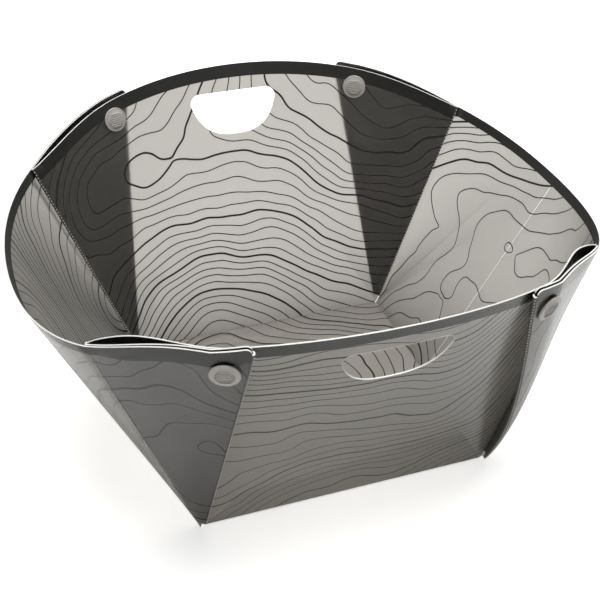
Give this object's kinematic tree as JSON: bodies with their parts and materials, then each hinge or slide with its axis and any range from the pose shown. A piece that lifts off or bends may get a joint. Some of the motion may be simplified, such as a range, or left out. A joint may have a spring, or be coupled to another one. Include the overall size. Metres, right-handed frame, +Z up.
{
  "type": "collapsible bowl",
  "caption": "Open bowl folded from one scored translucent plastic sheet, with pleated corners closed by press snaps and a hand hole in two walls.",
  "frame": {"origin": "middle of the underside of the square base panel, on the surface that the bowl stands on", "axes": "+X to the right wall, +Y to the back wall, +Z up; the walls with hand holes face -Y (front) and +Y (back)"},
  "size_m": [0.3174, 0.2892, 0.1593],
  "materials": {
    "sheet": "translucent smoke-grey polypropylene sheet with a printed line pattern",
    "snap": "moulded grey acetal"
  },
  "bodies": {
    "base": {"base_panel": "sheet"},
    "left_wall": {"left_wall": "sheet"},
    "right_wall": {"right_wall": "sheet"},
    "front_wall": {"front_wall": "sheet", "front_left_stud": "snap", "front_left_inner_cap": "snap", "front_right_stud": "snap", "front_right_inner_cap": "snap"},
    "back_wall": {"back_wall": "sheet", "back_left_stud": "snap", "back_left_inner_cap": "snap", "back_right_stud": "snap", "back_right_inner_cap": "snap"},
    "front_left_gusset": {"front_left_gusset": "sheet"},
    "front_left_flap": {"front_left_flap": "sheet", "front_left_outer_cap": "snap", "front_left_socket": "snap"},
    "front_right_gusset": {"front_right_gusset": "sheet"},
    "front_right_flap": {"front_right_flap": "sheet", "front_right_outer_cap": "snap", "front_right_socket": "snap"},
    "back_left_gusset": {"back_left_gusset": "sheet"},
    "back_left_flap": {"back_left_flap": "sheet", "back_left_outer_cap": "snap", "back_left_socket": "snap"},
    "back_right_gusset": {"back_right_gusset": "sheet"},
    "back_right_flap": {"back_right_flap": "sheet", "back_right_outer_cap": "snap", "back_right_socket": "snap"}
  },
  "joints": [
    {"name": "front_wall_fold", "type": "hinge", "parent": "base", "child": "front_wall", "pos_m": [0, -0.08075, 0.0004], "axis": [1, 0, 0], "range_deg": [0, 54.2]},
    {"name": "back_wall_fold", "type": "hinge", "parent": "base", "child": "back_wall", "pos_m": [0, 0.08075, 0.0004], "axis": [-1, 0, 0], "range_deg": [0, 54.4]},
    {"name": "left_wall_fold", "type": "hinge", "parent": "base", "child": "left_wall", "pos_m": [-0.082, 0, 0.0004], "axis": [0, -1, 0], "range_deg": [0, 47.8]},
    {"name": "right_wall_fold", "type": "hinge", "parent": "base", "child": "right_wall", "pos_m": [0.082, 0, 0.0004], "axis": [0, 1, 0], "range_deg": [0, 47.8]},
    {"name": "front_left_gusset_fold", "type": "hinge", "parent": "front_wall", "child": "front_left_gusset", "pos_m": [-0.10829, -0.08388, 0.06872], "axis": [0.3399, 0.0256, -0.9401], "range_deg": [0, 144.6]},
    {"name": "front_left_flap_fold", "type": "hinge", "parent": "front_left_gusset", "child": "front_left_flap", "pos_m": [-0.0764, -0.10632, 0.06887], "axis": [0.0836, -0.3286, 0.9408], "range_deg": [0, 147.9]},
    {"name": "front_right_gusset_fold", "type": "hinge", "parent": "front_wall", "child": "front_right_gusset", "pos_m": [0.10829, -0.08388, 0.06872], "axis": [0.3399, -0.0256, 0.9401], "range_deg": [0, 144.6]},
    {"name": "front_right_flap_fold", "type": "hinge", "parent": "front_right_gusset", "child": "front_right_flap", "pos_m": [0.0764, -0.10632, 0.06887], "axis": [0.0836, 0.3286, -0.9408], "range_deg": [0, 147.9]},
    {"name": "back_left_gusset_fold", "type": "hinge", "parent": "back_wall", "child": "back_left_gusset", "pos_m": [-0.10829, 0.08388, 0.06872], "axis": [-0.3399, 0.0256, 0.9401], "range_deg": [0, 144.6]},
    {"name": "back_left_flap_fold", "type": "hinge", "parent": "back_left_gusset", "child": "back_left_flap", "pos_m": [-0.0764, 0.10632, 0.06887], "axis": [-0.0836, -0.3286, -0.9408], "range_deg": [0, 147.9]},
    {"name": "back_right_gusset_fold", "type": "hinge", "parent": "back_wall", "child": "back_right_gusset", "pos_m": [0.10829, 0.08388, 0.06872], "axis": [-0.3399, -0.0256, -0.9401], "range_deg": [0, 144.6]},
    {"name": "back_right_flap_fold", "type": "hinge", "parent": "back_right_gusset", "child": "back_right_flap", "pos_m": [0.0764, 0.10632, 0.06887], "axis": [-0.0836, 0.3286, 0.9408], "range_deg": [0, 147.9]}
  ],
  "couplings": [
    {"joint": "back_wall_fold", "follows": "front_wall_fold", "ratio": 1},
    {"joint": "left_wall_fold", "follows": "front_wall_fold", "ratio": 0.87823},
    {"joint": "right_wall_fold", "follows": "front_wall_fold", "ratio": 0.87823},
    {"joint": "front_left_gusset_fold", "follows": "front_wall_fold", "ratio": 2.6624},
    {"joint": "front_left_flap_fold", "follows": "front_wall_fold", "ratio": 2.7233},
    {"joint": "front_right_gusset_fold", "follows": "front_wall_fold", "ratio": 2.6624},
    {"joint": "front_right_flap_fold", "follows": "front_wall_fold", "ratio": 2.7233},
    {"joint": "back_left_gusset_fold", "follows": "front_wall_fold", "ratio": 2.6624},
    {"joint": "back_left_flap_fold", "follows": "front_wall_fold", "ratio": 2.7233},
    {"joint": "back_right_gusset_fold", "follows": "front_wall_fold", "ratio": 2.6624},
    {"joint": "back_right_flap_fold", "follows": "front_wall_fold", "ratio": 2.7233}
  ]
}
